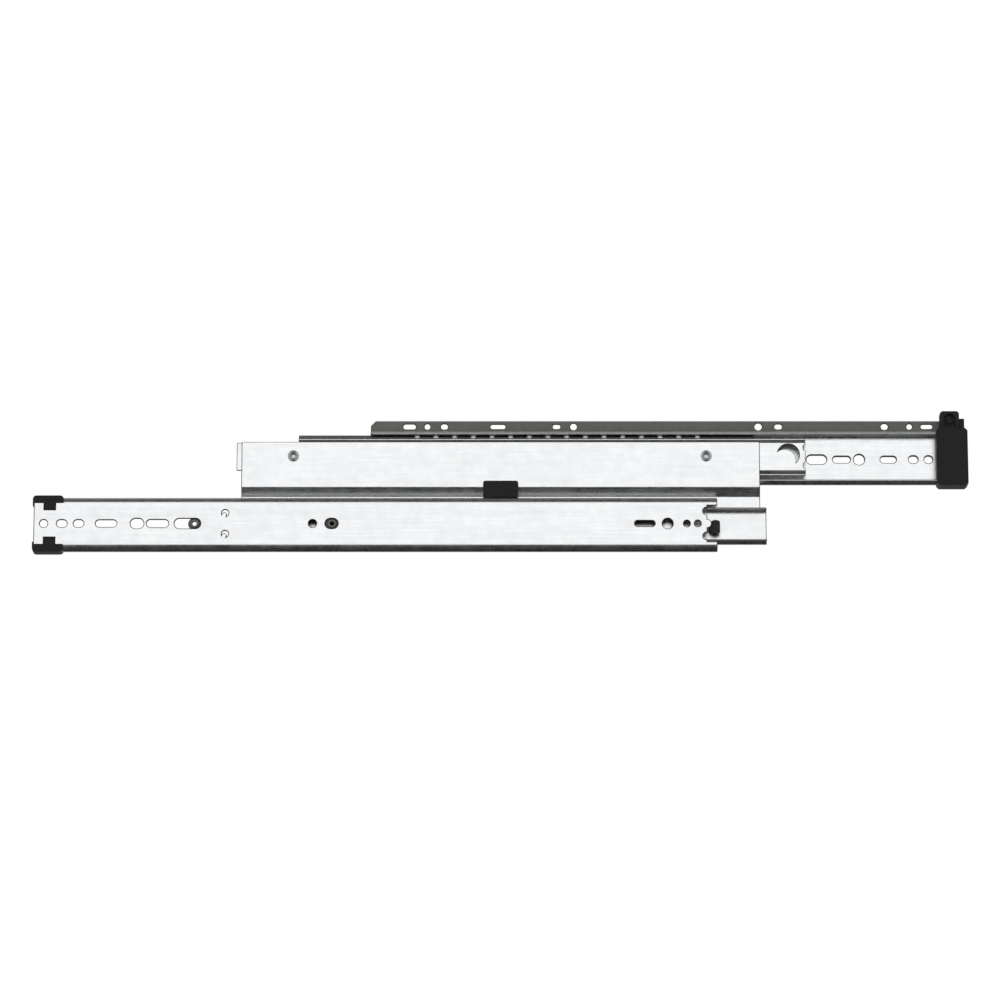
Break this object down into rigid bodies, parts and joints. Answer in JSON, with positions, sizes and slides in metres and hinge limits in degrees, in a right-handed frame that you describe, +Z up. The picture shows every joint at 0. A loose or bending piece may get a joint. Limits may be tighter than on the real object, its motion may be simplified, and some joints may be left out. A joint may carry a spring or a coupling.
{
  "type": "drawer slide",
  "caption": "Two-stage side-mount ball-bearing drawer slide: cabinet channel, joggled beam with two inner rails, and drawer channel.",
  "frame": {"origin": "middle of the cabinet screw-hole pattern, on the face that lies against the cabinet wall", "axes": "+X towards the back of the cabinet, along the travel (the drawer opens towards -X); +Y into the cabinet wall; +Z up"},
  "size_m": [0.5583, 0.0172, 0.0887],
  "materials": {
    "zinc_steel": "bright zinc-plated cold-rolled sheet",
    "dark_steel": "dark phosphated sheet, satin",
    "rivet_steel": "zinc-plated tubular rivet",
    "cage_steel": "dark blued strip",
    "ball_steel": "polished bearing ball",
    "black_plastic": "moulded, fine grain",
    "black_rubber": "soft rubber"
  },
  "bodies": {
    "cabinet": {"cabinet_channel": "zinc_steel", "backing_strip": "dark_steel", "backing_rivets": "rivet_steel", "rear_cap": "black_plastic"},
    "beam": {"beam_plate": "zinc_steel", "upper_inner_rail": "zinc_steel", "lower_inner_rail": "zinc_steel", "upper_rail_rivets": "rivet_steel", "lower_rail_rivets": "rivet_steel", "guide_block": "black_plastic"},
    "drawer": {"drawer_channel": "zinc_steel", "front_cap_top": "black_plastic", "front_cap_bottom": "black_plastic", "slot_nuts": "dark_steel", "end_bumper": "black_rubber"},
    "upper_cage": {"upper_cage_top": "cage_steel", "upper_cage_bottom": "cage_steel", "upper_balls_top": "ball_steel", "upper_balls_bottom": "ball_steel"},
    "lower_cage": {"lower_cage_top": "cage_steel", "lower_cage_bottom": "cage_steel", "lower_balls_top": "ball_steel", "lower_balls_bottom": "ball_steel"}
  },
  "joints": [
    {"name": "beam_slide", "type": "slide", "parent": "cabinet", "child": "beam", "axis": [-1, 0, 0], "range_m": [-0.076, 0.04]},
    {"name": "drawer_slide", "type": "slide", "parent": "beam", "child": "drawer", "axis": [-1, 0, 0], "range_m": [-0.078, 0.13]},
    {"name": "upper_cage_slide", "type": "slide", "parent": "cabinet", "child": "upper_cage", "axis": [-1, 0, 0], "range_m": [-0.038, 0.02]},
    {"name": "lower_cage_slide", "type": "slide", "parent": "beam", "child": "lower_cage", "axis": [-1, 0, 0], "range_m": [-0.039, 0.065]}
  ],
  "couplings": [
    {"joint": "upper_cage_slide", "follows": "beam_slide", "ratio": 0.5},
    {"joint": "lower_cage_slide", "follows": "drawer_slide", "ratio": 0.5}
  ]
}
